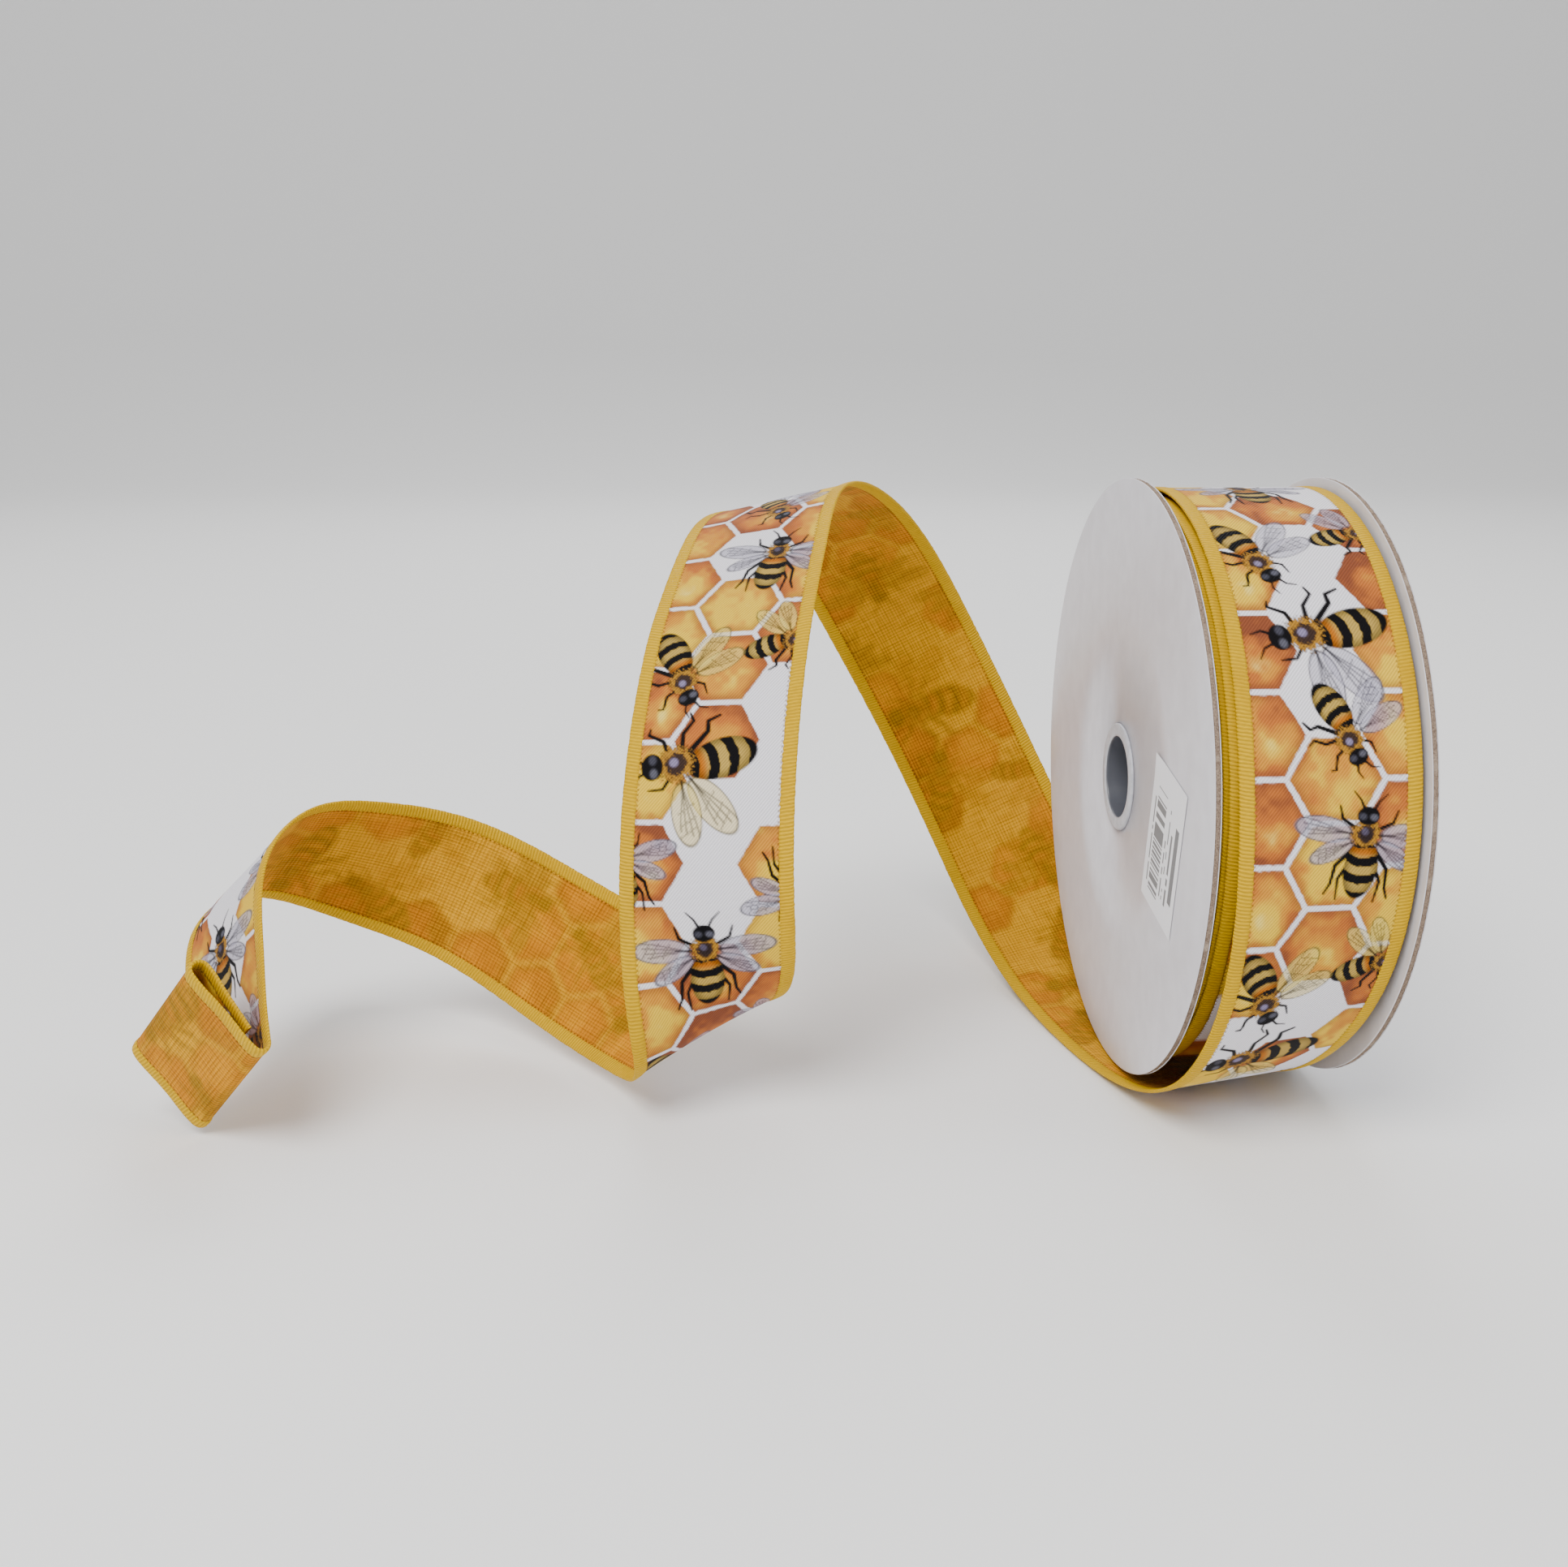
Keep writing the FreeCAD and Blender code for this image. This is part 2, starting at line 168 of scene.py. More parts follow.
class Route:
    """A ribbon route: middle, across and off-face directions by length along it."""

    def __init__(self, middle, across):
        step = np.linalg.norm(np.diff(middle, axis=0), axis=1)
        self.at = np.concatenate([[0], np.cumsum(step)])
        self.length = self.at[-1]
        self.middle = middle
        self.across = across

    def frames(self, s):
        middle = np.stack([np.interp(s, self.at, self.middle[:, k]) for k in range(3)], axis=1)
        across = unit(np.stack([np.interp(s, self.at, self.across[:, k]) for k in range(3)], axis=1))
        ahead = np.stack([np.interp(s + 0.4, self.at, self.middle[:, k]) for k in range(3)], axis=1)
        behind = np.stack([np.interp(s - 0.4, self.at, self.middle[:, k]) for k in range(3)], axis=1)
        return middle, across, unit(np.cross(ahead - behind, across))


def loose_route():
    middles, acrosses = loose_stations()
    tips = middles + acrosses * WIDTH / 2
    knots = np.concatenate([[0], np.cumsum(np.linalg.norm(np.diff(middles, axis=0), axis=1))])
    fine = np.linspace(0, knots[-1], 9000)
    middle = spline_points(knots, middles, natural_spline(knots, middles), fine)
    tip = spline_points(knots, tips, natural_spline(knots, tips), fine)
    return Route(middle, unit(tip - middle))


def pack_route():
    """The wound pack: half turns that grow by half a pitch, each a little off the last along the bore."""
    growth = (PACK_LAST - PACK_FIRST) / HALF_TURNS
    turn = np.linspace(0, (HALF_TURNS + LAST_PART_TURN) * math.pi, HALF_TURNS * 90 + 1)
    half = turn // math.pi
    radius = PACK_FIRST + growth * half
    centre = np.where(half % 2 == 0, 0.0, growth)
    drift = 0.35 * np.sin(turn * 0.31) + 0.2 * np.sin(turn * 0.83 + 1)
    drift = drift + 1.1 * smooth(HALF_TURNS - 2.4, HALF_TURNS - 1.6, turn / math.pi)
    x = PACK_OFFSET + WIDTH / 2 + drift
    middle = np.stack([x, centre + radius * np.cos(turn), radius * np.sin(turn)], axis=1)
    across = np.tile([1.0, 0, 0], (len(turn), 1))
    return Route(middle, across)


# ---------------------------------------------------------------- colours and the painted print
def linear(r, g, b):
    """A screen colour as linear light."""
    c = np.array([r, g, b], float) / 255
    return np.where(c <= 0.04045, c / 12.92, ((c + 0.055) / 1.055) ** 2.4)


def mixed(a, b, share):
    return a + (b - a) * share[..., None]


def lattice(ix, iy, seed):
    """A repeatable random value for each lattice cell."""
    n = np.sin(ix * 127.1 + iy * 311.7 + seed * 74.7) * 43758.5453
    return n - np.floor(n)


def soft_noise(x, y, seed):
    """Smooth noise from 0 to 1 with features of about one unit."""
    ix, iy = np.floor(x), np.floor(y)
    fx, fy = smooth(0, 1, x - ix), smooth(0, 1, y - iy)
    top = lattice(ix, iy, seed) * (1 - fx) + lattice(ix + 1, iy, seed) * fx
    bottom = lattice(ix, iy + 1, seed) * (1 - fx) + lattice(ix + 1, iy + 1, seed) * fx
    return top * (1 - fy) + bottom * fy


PRINT_WHITE = linear(244, 241, 248)
CELL_DARK = np.array([0.22, 0.042, 0.0])
CELL_ORANGE = np.array([0.52, 0.13, 0.0])
CELL_AMBER = np.array([0.68, 0.27, 0.0])
CELL_YELLOW = np.array([0.86, 0.54, 0.005])
INK = linear(10, 8, 12)
GOLD = np.array([0.42, 0.20, 0.02])
BEE_ORANGE = np.array([0.52, 0.15, 0.004])
STRIPE = np.array([0.50, 0.33, 0.07])
WING_LILAC = linear(178, 174, 194)
WING_YELLOW = linear(232, 208, 110)
CELL_PITCH = 17.73
CELL_REACH = 8.28
CELL_START = 13.6
CELL_MIDDLE = 20.0
REPEAT = 99.2


def honeycomb(s, t):
    """The watercolour honeycomb. Cells stand in columns along the ribbon with their flats across it."""
    column_step = CELL_PITCH * math.sqrt(3) / 2
    best = np.full(s.shape, 1e9)
    cell_i, cell_j = np.zeros(s.shape), np.zeros(s.shape)
    centre_s, centre_t = np.zeros(s.shape), np.zeros(s.shape)
    column = np.round((t - CELL_MIDDLE) / column_step)
    for di in (-1, 0, 1):
        i = column + di
        shift = CELL_START + np.where(i % 2 == 0, 0.0, CELL_PITCH / 2)
        j = np.round((s - shift) / CELL_PITCH)
        ds = s - (j * CELL_PITCH + shift)
        dt = t - (CELL_MIDDLE + i * column_step)
        reach = np.maximum(np.abs(ds), np.abs(ds) / 2 + np.abs(dt) * math.sqrt(3) / 2)
        nearer = reach < best
        best = np.where(nearer, reach, best)
        cell_i, cell_j = np.where(nearer, i, cell_i), np.where(nearer, j, cell_j)
        centre_s, centre_t = np.where(nearer, ds, centre_s), np.where(nearer, dt, centre_t)
    depth = lattice(cell_i, cell_j, 1)
    kind = lattice(cell_i, cell_j, 5)
    wash = soft_noise(s / 5 + 9 * depth, t / 4, 2) * 0.6 + soft_noise(s / 1.7, t / 1.7, 3) * 0.4
    lit = np.exp(-((centre_s - 2.5) ** 2 + (centre_t - 1.5) ** 2) / 24)
    tone = np.clip(0.04 + 0.85 * depth + 0.75 * (wash - 0.5) + 0.50 * lit, 0, 1)
    colour = mixed(np.broadcast_to(CELL_DARK, s.shape + (3,)), CELL_ORANGE, smooth(0.0, 0.38, tone))
    colour = mixed(colour, CELL_AMBER, smooth(0.38, 0.68, tone))
    colour = mixed(colour, CELL_YELLOW, smooth(0.68, 0.98, tone))
    rim = smooth(CELL_REACH - 2.4, CELL_REACH - 0.1, best)
    colour = mixed(colour, CELL_DARK, rim * (0.75 - 0.35 * depth))
    colour = mixed(colour, linear(254, 236, 130), smooth(0.75, 1.0, lit) * smooth(0.45, 0.9, wash) * 0.6)
    ragged = 0.22 * (soft_noise(s / 0.9, t / 0.9, 9) - 0.5)
    inside = smooth(CELL_REACH + 0.12, CELL_REACH - 0.12, best + ragged)
    blank = np.where((cell_i == 0) & (cell_j % 2 == 0), kind < 0.8, kind < 0.2)
    inside = inside * np.where(blank, 0.0, 1.0)
    return mixed(np.broadcast_to(PRINT_WHITE, s.shape + (3,)), colour, inside * 0.97)


class Brush:
    """Paints one bee over the print, in the bee's own axes: u to the right, v towards its head."""

    def __init__(self, colour, u, v):
        self.colour = colour
        self.u = u
        self.v = v

    def lay(self, mask, paint, strength=1.0):
        self.colour[:] = mixed(self.colour, paint, np.clip(mask, 0, 1) * strength)

    def oval(self, cu, cv, ru, rv, lean=0.0, soft=0.35):
        """Coverage of an oval, and its own axes scaled to its radii."""
        c, n = math.cos(math.radians(lean)), math.sin(math.radians(lean))
        du, dv = self.u - cu, self.v - cv
        a, b = (du * c + dv * n) / ru, (-du * n + dv * c) / rv
        reach = np.sqrt(a * a + b * b)
        edge = soft / min(ru, rv)
        return smooth(1 + edge / 2, 1 - edge / 2, reach), a, b, reach

    def stroke(self, points, width, paint=INK, strength=1.0):
        """A tapering line through a few points."""
        cover = np.zeros(self.u.shape)
        count = len(points) - 1
        for k in range(count):
            (x0, y0), (x1, y1) = points[k], points[k + 1]
            dx, dy = x1 - x0, y1 - y0
            share = np.clip(((self.u - x0) * dx + (self.v - y0) * dy) / (dx * dx + dy * dy), 0, 1)
            away = np.hypot(self.u - x0 - share * dx, self.v - y0 - share * dy)
            wide = width * (1 - 0.55 * (k + share) / count) / 2
            cover = np.maximum(cover, smooth(wide + 0.16, wide - 0.16, away))
        self.lay(cover, paint, strength)

    def wing(self, root, tip, wide, tint, strength=0.5):
        """A veined, see-through wing."""
        du, dv = tip[0] - root[0], tip[1] - root[1]
        long = math.hypot(du, dv)
        lean = math.degrees(math.atan2(dv, du))
        mid = (root[0] + du * 0.56, root[1] + dv * 0.56)
        cover, a, b, reach = self.oval(mid[0], mid[1], long * 0.47, wide / 2, lean)
        self.lay(cover, tint, strength)
        rim = cover * smooth(1 - 0.7 / wide, 1 - 0.15 / wide, reach)
        self.lay(rim, INK, 0.85)
        vein = np.zeros(self.u.shape)
        for k, bow in enumerate((-0.62, -0.22, 0.18, 0.55)):
            line = np.abs(b - bow * smooth(-1.1, 0.7, a)) * wide / 2
            vein = np.maximum(vein, smooth(0.30, 0.08, line) * (a < 0.82 - 0.1 * k))
        for cross in (-0.15, 0.25, 0.55):
            line = np.abs(a - cross - 0.2 * b) * long * 0.47
            vein = np.maximum(vein, smooth(0.26, 0.08, line) * (np.abs(b) < 0.62))
        self.lay(vein * cover, INK, 0.6)
        self.stroke([root, (root[0] + du * 0.35, root[1] + dv * 0.35)], 0.55, INK, 0.8)

    def striped(self, cu, cv, ru, rv, lean, bands):
        """An abdomen with gold and black bands across its long axis."""
        cover, a, b, reach = self.oval(cu, cv, ru, rv, lean)
        along = b + 0.18 * (1 - a * a)
        wave = np.sin(along * math.pi * bands + 0.6 * soft_noise(self.u, self.v, 11))
        colour = mixed(np.broadcast_to(INK, self.u.shape + (3,)), STRIPE, smooth(-0.12, 0.22, wave))
        colour = mixed(colour, BEE_ORANGE, smooth(0.45, 0.75, along) * smooth(-0.1, 0.2, wave))
        shade = smooth(0.45, 1.0, reach)
        cover = cover[..., None]
        self.colour[:] = self.colour * (1 - cover) + (colour * (1 - 0.6 * shade[..., None])) * cover

    def thorax(self, cu, cv, r):
        fuzz = 0.55 * (soft_noise(self.u * 3.4, self.v * 3.4, 12) - 0.5)
        _, a, b, reach = self.oval(cu, cv, r, r, 0, 0.9)
        self.lay(smooth(1.2, 0.9, reach + fuzz), linear(60, 40, 22), 0.9)
        self.lay(smooth(1.05, 0.8, reach + fuzz), GOLD, 1.0)
        self.lay(smooth(0.70, 0.52, reach + 0.5 * fuzz), linear(40, 30, 34), 0.95)
        self.lay(smooth(0.34, 0.16, np.hypot(a + 0.1, b - 0.1)), linear(150, 140, 178), 0.75)

    def head(self, cu, cv, r):
        cover, a, b, _ = self.oval(cu, cv, r * 1.05, r * 0.85)
        self.lay(cover, INK)
        self.lay(smooth(0.5, 0.2, np.hypot(a - 0.5, b + 0.1)), linear(110, 110, 125), 0.6)
        self.lay(smooth(0.5, 0.2, np.hypot(a + 0.5, b + 0.1)), linear(90, 90, 105), 0.5)

    def top_bee(self, tint):
        """A bee from above, wings spread."""
        for side in (-1, 1):
            self.wing((side * 1.8, 3.6), (side * 15.0, 4.6), 5.4, tint, 0.72)
            self.wing((side * 1.6, 2.6), (side * 11.0, -2.6), 4.2, tint, 0.72)
            self.stroke([(side * 1.6, 4.5), (side * 5.4, 6.6), (side * 6.2, 9.2)], 0.95)
            self.stroke([(side * 2.0, 1.0), (side * 5.6, -3.2), (side * 6.0, -7.2),
                         (side * 7.0, -9.4)], 1.1)
            self.stroke([(side * 2.0, -1.0), (side * 4.6, -6.0), (side * 4.2, -10.4)], 1.0)
            self.stroke([(side * 0.7, 8.4), (side * 2.0, 10.8), (side * 3.6, 12.4)], 0.65)
        self.striped(0, -3.6, 3.7, 6.4, 0, 3.4)
        self.thorax(0, 4.0, 2.9)
        self.lay(self.oval(0, 3.4, 1.3, 1.7)[0], linear(36, 28, 30), 0.7)
        self.head(0, 7.6, 2.3)

    def side_bee(self, tint):
        """A bee seen partly from the side, both wings to its right."""
        self.wing((2.4, 2.4), (15.6, -6.0), 6.6, tint, 0.6)
        self.wing((2.6, 3.6), (17.0, 3.0), 6.2, tint, 0.6)
        self.stroke([(-1.6, 5.6), (-5.2, 6.6), (-7.2, 9.6), (-8.4, 9.2)], 1.05)
        self.stroke([(-2.2, 3.0), (-6.2, 2.4), (-8.6, 0.0), (-10.4, 0.6)], 1.1)
        self.stroke([(-2.0, 1.4), (-5.8, -2.8), (-8.0, -3.0), (-8.8, -5.6)], 1.35)
        self.stroke([(2.2, 5.4), (4.8, 7.6), (4.6, 10.6)], 0.9)
        self.stroke([(0.6, 10.4), (1.6, 13.2), (3.6, 14.6)], 0.75)
        self.stroke([(-0.9, 10.4), (-2.2, 12.8), (-1.8, 15.0)], 0.75)
        self.striped(0.4, -5.2, 4.2, 7.6, -6, 3.6)
        self.thorax(0, 4.4, 3.7)
        self.head(-0.2, 9.4, 2.7)


# Bees in one repeat: along, across, size, the way the head points (0 is back along the ribbon), kind,
# mirrored, and the repeats that have it (0 for even ones, 1 for odd ones, 2 for all).
BEES = [
    (0.0, 18.5, 1.02, 2, "top", False, 0),
    (0.0, 26.0, 0.98, -6, "top", False, 1),
    (26.0, 32.0, 0.68, -75, "side", True, 2),
    (31.5, 9.0, 0.86, 206, "side", True, 2),
    (53.5, 16.0, 1.06, 100, "side", True, 1),
    (53.0, 21.0, 1.06, 100, "side", True, 0),
    (73.5, 21.5, 0.76, -152, "side", True, 0),
    (78.0, 0.5, 0.85, 10, "top", False, 1),
    (80.0, 38.5, 0.85, 190, "top", False, 1),
]
PHASE = 790.5 - 8 * REPEAT


def painted(s, t):
    """The print's colour at length s and distance t across the ribbon."""
    colour = honeycomb(s, t)
    first = math.floor((s.min() - PHASE) / REPEAT) - 1
    last = math.ceil((s.max() - PHASE) / REPEAT) + 1
    for number in range(first, last + 1):
        for along, across, grown, way, kind, mirrored, turn in BEES:
            if turn != 2 and number % 2 != turn:
                continue
            ds = s - (PHASE + number * REPEAT + along)
            dt = t - across
            near = np.hypot(ds, dt) < 19 * grown
            if not near.any():
                continue
            c, n = math.cos(math.radians(way)), math.sin(math.radians(way))
            u, v = dt[near] / grown, -ds[near] / grown
            u, v = u * c + v * n, -u * n + v * c
            patch = colour[near]
            brush = Brush(patch, -u if mirrored else u, v)
            tint = WING_YELLOW if kind == "side" and number % 2 else WING_LILAC
            if kind == "top":
                brush.top_bee(tint)
            else:
                brush.side_bee(tint)
            colour[near] = patch
    return colour


# ---------------------------------------------------------------- mesh helpers
def grid_mesh(name, points, uv, looped=False, colour=None):
    """A smooth mesh over a grid of points in millimetres. looped closes the second direction."""
    rows, cols = points.shape[:2]
    index = np.arange(rows * cols).reshape(rows, cols)
    if looped:
        index = np.concatenate([index, index[:, :1]], axis=1)
    corners = [index[:-1, :-1], index[1:, :-1], index[1:, 1:], index[:-1, 1:]]
    quads = np.stack(corners, axis=-1).reshape(-1, 4)
    mesh = bpy.data.meshes.new(name)
    mesh.vertices.add(rows * cols)
    mesh.vertices.foreach_set("co", (points.reshape(-1, 3) * MM).astype(np.float32).ravel())
    mesh.loops.add(quads.size)
    mesh.loops.foreach_set("vertex_index", quads.astype(np.int32).ravel())
    mesh.polygons.add(len(quads))
    mesh.polygons.foreach_set("loop_start", np.arange(0, quads.size, 4, dtype=np.int32))
    layer = mesh.uv_layers.new(name="UVMap")
    spread = uv.reshape(-1, 2)[quads.ravel()] * MM
    layer.data.foreach_set("uv", spread.astype(np.float32).ravel())
    if colour is not None:
        paint = mesh.color_attributes.new("print", "FLOAT_COLOR", "POINT")
        rgba = np.concatenate([colour.reshape(-1, 3), np.ones((rows * cols, 1))], axis=1)
        paint.data.foreach_set("color", rgba.astype(np.float32).ravel())
    mesh.update(calc_edges=True)
    mesh.validate()
    mesh.polygons.foreach_set("use_smooth", np.ones(len(mesh.polygons), dtype=bool))
    piece = bpy.data.objects.new(name, mesh)
    bpy.context.scene.collection.objects.link(piece)
    return piece


def dress(piece, material, body, slot_name, *nodes):
    """Give a piece its material and body, and hide the CAD parts that it stands for."""
    piece.data.materials.append(material)
    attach(piece, body)
    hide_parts(*nodes)
    return piece


# ---------------------------------------------------------------- material helpers
class Nodes:
    """Builds a principled material out of small node formulas."""

    def __init__(self, name, **settings):
        self.material = bpy.data.materials.new(name)
        self.material.use_nodes = True
        self.tree = self.material.node_tree
        self.surface = self.tree.nodes["Principled BSDF"]
        for socket, value in settings.items():
            self.surface.inputs[socket.replace("_", " ")].default_value = value
        place = self.tree.nodes.new("ShaderNodeUVMap")
        place.uv_map = "UVMap"
        split = self.tree.nodes.new("ShaderNodeSeparateXYZ")
        self.tree.links.new(place.outputs[0], split.inputs[0])
        self.s, self.t = split.outputs[0], split.outputs[1]

    def plug(self, socket, value):
        if isinstance(value, bpy.types.NodeSocket):
            self.tree.links.new(value, socket)
        else:
            socket.default_value = value

    def math(self, operation, a, b=0.0, c=0.0):
        node = self.tree.nodes.new("ShaderNodeMath")
        node.operation = operation
        for socket, value in zip(node.inputs, (a, b, c)):
            self.plug(socket, value)
        return node.outputs[0]

    def wave(self, coordinate, pitch_mm, phase=0.0):
        """A sine from 0 to 1 along a coordinate."""
        turned = self.math("MULTIPLY_ADD", coordinate, 2 * math.pi / (pitch_mm * MM), phase)
        return self.math("MULTIPLY_ADD", self.math("SINE", turned), 0.5, 0.5)

    def noise(self, scale_s, scale_t, detail=3.0):
        """Noise over the piece's own length and width, with features of the given sizes in millimetres."""
        join = self.tree.nodes.new("ShaderNodeCombineXYZ")
        self.plug(join.inputs[0], self.math("DIVIDE", self.s, scale_s * MM))
        self.plug(join.inputs[1], self.math("DIVIDE", self.t, scale_t * MM))
        node = self.tree.nodes.new("ShaderNodeTexNoise")
        node.inputs["Scale"].default_value = 1.0
        node.inputs["Detail"].default_value = detail
        self.tree.links.new(join.outputs[0], node.inputs["Vector"])
        return node.outputs[0]

    def space_noise(self, size_mm, detail=3.0):
        """Noise in the object's own space."""
        where = self.tree.nodes.new("ShaderNodeTexCoord")
        node = self.tree.nodes.new("ShaderNodeTexNoise")
        node.inputs["Scale"].default_value = 1 / (size_mm * MM)
        node.inputs["Detail"].default_value = detail
        self.tree.links.new(where.outputs["Object"], node.inputs["Vector"])
        return node.outputs[0]

    def ramp(self, value, low, high):
        """0 below low, 1 above high."""
        node = self.tree.nodes.new("ShaderNodeMapRange")
        for socket, number in zip(node.inputs[:3], (value, low, high)):
            self.plug(socket, number)
        return node.outputs[0]

    def mix(self, share, a, b):
        node = self.tree.nodes.new("ShaderNodeMix")
        node.data_type = "RGBA"
        self.plug(node.inputs[0], share)
        for socket, value in ((node.inputs[6], a), (node.inputs[7], b)):
            if isinstance(value, bpy.types.NodeSocket):
                self.tree.links.new(value, socket)
            else:
                socket.default_value = (*value, 1.0)
        return node.outputs[2]

    def attribute(self, name):
        node = self.tree.nodes.new("ShaderNodeAttribute")
        node.attribute_name = name
        return node.outputs["Color"]

    def finish(self, colour, height=None, distance_mm=0.1, strength=1.0, roughness=None):
        if isinstance(colour, bpy.types.NodeSocket):
            self.tree.links.new(colour, self.surface.inputs["Base Color"])
        else:
            self.surface.inputs["Base Color"].default_value = (*colour, 1.0)
        if roughness is not None:
            self.plug(self.surface.inputs["Roughness"], roughness)
        if height is not None:
            bump = self.tree.nodes.new("ShaderNodeBump")
            bump.inputs["Strength"].default_value = strength
            bump.inputs["Distance"].default_value = distance_mm * MM
            self.plug(bump.inputs["Height"], height)
            self.tree.links.new(bump.outputs[0], self.surface.inputs["Normal"])
        return self.material


def stitch_dots(nodes):
    """Small needle dots where the overlocked edge bites the fabric."""
    from_near = nodes.math("SUBTRACT", nodes.t, (EDGE_WIDTH + 0.28) * MM)
    from_far = nodes.math("SUBTRACT", (WIDTH - EDGE_WIDTH - 0.28) * MM, nodes.t)
    away = nodes.math("MINIMUM", nodes.math("ABSOLUTE", from_near), nodes.math("ABSOLUTE", from_far))
    line = nodes.ramp(away, 0.34 * MM, 0.12 * MM)
    return nodes.math("MULTIPLY", line, nodes.ramp(nodes.wave(nodes.s, 1.15), 0.45, 0.75))


def print_material():
    n = Nodes("print_twill", Roughness=0.6, Specular_IOR_Level=0.08)
    lean = n.math("MULTIPLY_ADD", n.t, 1.25, n.s)
    rib = n.wave(lean, 0.9)
    thread = n.noise(0.5, 0.22, 2.0)
    height = n.math("MULTIPLY_ADD", thread, 0.7, rib)
    paint = n.attribute("print")
    # Painted shade: the print darkens by up to 30 percent in the valleys between the twill ribs.
    rib_shaded = n.mix(n.math("MULTIPLY", n.math("SUBTRACT", 1.0, rib), 0.30), paint, (0.0, 0.0, 0.0))
    dotted = n.mix(n.math("MULTIPLY", stitch_dots(n), 0.6), rib_shaded, linear(120, 78, 8))
    return n.finish(dotted, height, 0.07, 0.9)


def backing_material():
    n = Nodes("backing_linen", Roughness=0.8, Sheen_Weight=0.03, Sheen_Roughness=0.4,
              Specular_IOR_Level=0.1)
    warp = n.wave(n.math("MULTIPLY_ADD", n.noise(9.0, 1.0, 2.0), 0.0005, n.t), 0.85)
    weft = n.wave(n.math("MULTIPLY_ADD", n.noise(1.0, 9.0, 2.0), 0.0005, n.s), 0.95)
    slub_along = n.noise(11.0, 0.45, 3.0)
    slub_across = n.noise(0.45, 9.0, 3.0)
    weave = n.math("MULTIPLY", n.math("ADD", warp, slub_along), n.math("ADD", weft, slub_across))
    slubs = n.math("ADD", n.math("MULTIPLY", slub_along, 0.5), n.math("MULTIPLY", slub_across, 0.5))
    light, dark = (0.84, 0.43, 0.008), (0.66, 0.31, 0.002)
    base = n.mix(n.ramp(slubs, 0.36, 0.62), dark, light)
    # Painted shade: the base turns dark brown in the low parts of the weave, between the threads.
    base = n.mix(n.ramp(weave, 0.15, 1.2), n.mix(0.6, base, (0.16, 0.07, 0.0)), base)
    blotch = n.mix(n.ramp(n.noise(26, 16, 2.0), 0.4, 0.7), base, n.mix(0.2, base, linear(206, 146, 44)))
    ghost = n.tree.nodes.new("ShaderNodeMix")
    ghost.data_type = "RGBA"
    ghost.blend_type = "MULTIPLY"
    ghost.inputs[0].default_value = 0.85
    n.tree.links.new(blotch, ghost.inputs[6])
    n.tree.links.new(n.attribute("print"), ghost.inputs[7])
    dotted = n.mix(n.math("MULTIPLY", stitch_dots(n), 0.7), ghost.outputs[2], linear(96, 54, 6))
    return n.finish(dotted, weave, 0.11, 0.9)


def thread_material():
    n = Nodes("edge_thread", Roughness=0.5, Specular_IOR_Level=0.08)
    lean = n.math("MULTIPLY_ADD", n.t, 0.22, n.s)
    uneven = n.math("MULTIPLY_ADD", n.noise(3.0, 3.0, 2.0), 0.0004, lean)
    ridge = n.wave(uneven, 0.78)
    # Painted shade: the thread darkens in the valleys between the stitch ridges.
    valley_shade = n.ramp(ridge, 0.55, 0.0)
    fibre = n.noise(0.12, 0.9, 2.0)
    colour = n.mix(n.ramp(fibre, 0.3, 0.7), (0.62, 0.37, 0.0), (0.82, 0.50, 0.0))
    colour = n.mix(n.math("MULTIPLY", valley_shade, 0.5), colour, (0.30, 0.15, 0.0))
    worn = n.math("MULTIPLY", n.ramp(n.noise(14, 5, 2.0), 0.5, 0.75), 0.35)
    colour = n.mix(worn, colour, (0.50, 0.26, 0.0))
    height = n.math("ADD", ridge, n.math("MULTIPLY", fibre, 0.25))
    return n.finish(colour, height, 0.2, 1.0)


def paper_material():
    n = Nodes("coated_paper", Roughness=0.30, Specular_IOR_Level=0.5, Coat_Weight=0.15, Coat_Roughness=0.22)
    mottle = n.space_noise(6.0, 4.0)
    grain = n.space_noise(0.5, 3.0)
    colour = n.mix(n.ramp(mottle, 0.35, 0.7), linear(210, 207, 213), linear(219, 217, 223))
    height = n.math("ADD", n.math("MULTIPLY", mottle, 1.0), n.math("MULTIPLY", grain, 0.25))
    rough = n.math("MULTIPLY_ADD", grain, 0.12, 0.27)
    return n.finish(colour, height, 0.03, 0.35, rough)


def board_material():
    n = Nodes("grey_board", Roughness=0.9, Specular_IOR_Level=0.2)
    fibre = n.space_noise(0.35, 4.0)
    patch = n.space_noise(4.0, 3.0)
    colour = n.mix(n.ramp(fibre, 0.3, 0.7), linear(104, 86, 74), linear(158, 138, 120))
    colour = n.mix(n.math("MULTIPLY", n.ramp(patch, 0.55, 0.75), 0.5), colour, linear(186, 170, 152))
    return n.finish(colour, fibre, 0.2, 1.0)


